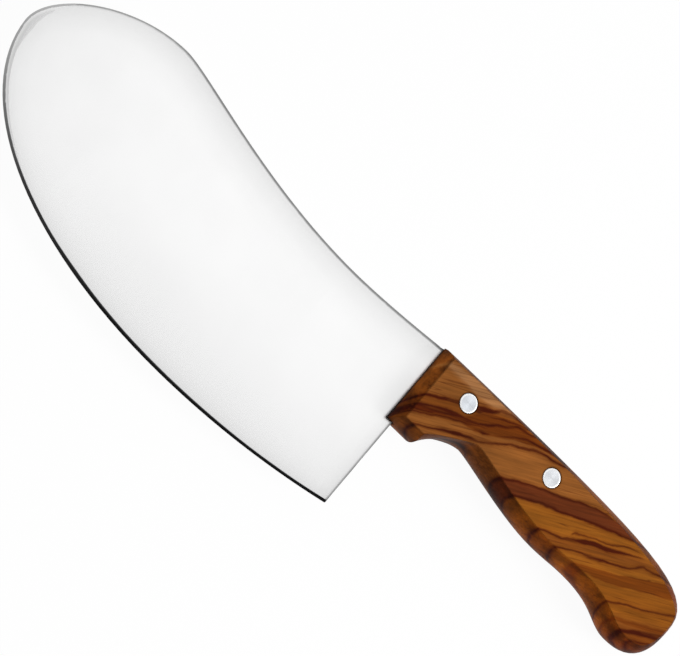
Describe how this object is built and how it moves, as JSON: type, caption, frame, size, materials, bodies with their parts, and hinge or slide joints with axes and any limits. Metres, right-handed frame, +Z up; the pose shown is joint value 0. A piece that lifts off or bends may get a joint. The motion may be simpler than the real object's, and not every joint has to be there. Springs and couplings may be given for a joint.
{
  "type": "mezzaluna",
  "caption": "One-handed rocking knife with a wide hollow-backed steel blade, a bowed cutting edge and a riveted wooden handle with guard and finger notch.",
  "frame": {"origin": "middle of the knife's box, on the surface that it lies on", "axes": "+X from the blade's tip to the butt of the handle, +Y from the cutting edge to the spine, +Z up through the blade's thickness"},
  "size_m": [0.301, 0.0842, 0.016],
  "materials": {
    "blade_steel": "fine satin, bright",
    "olive_wood": "oiled, streaked figure, satin",
    "rivet_metal": "turned and polished"
  },
  "bodies": {
    "root": {"blade": "blade_steel", "handle": "olive_wood", "front_rivet_socket": "rivet_metal", "front_rivet_post": "rivet_metal", "rear_rivet_socket": "rivet_metal", "rear_rivet_post": "rivet_metal"}
  },
  "joints": []
}
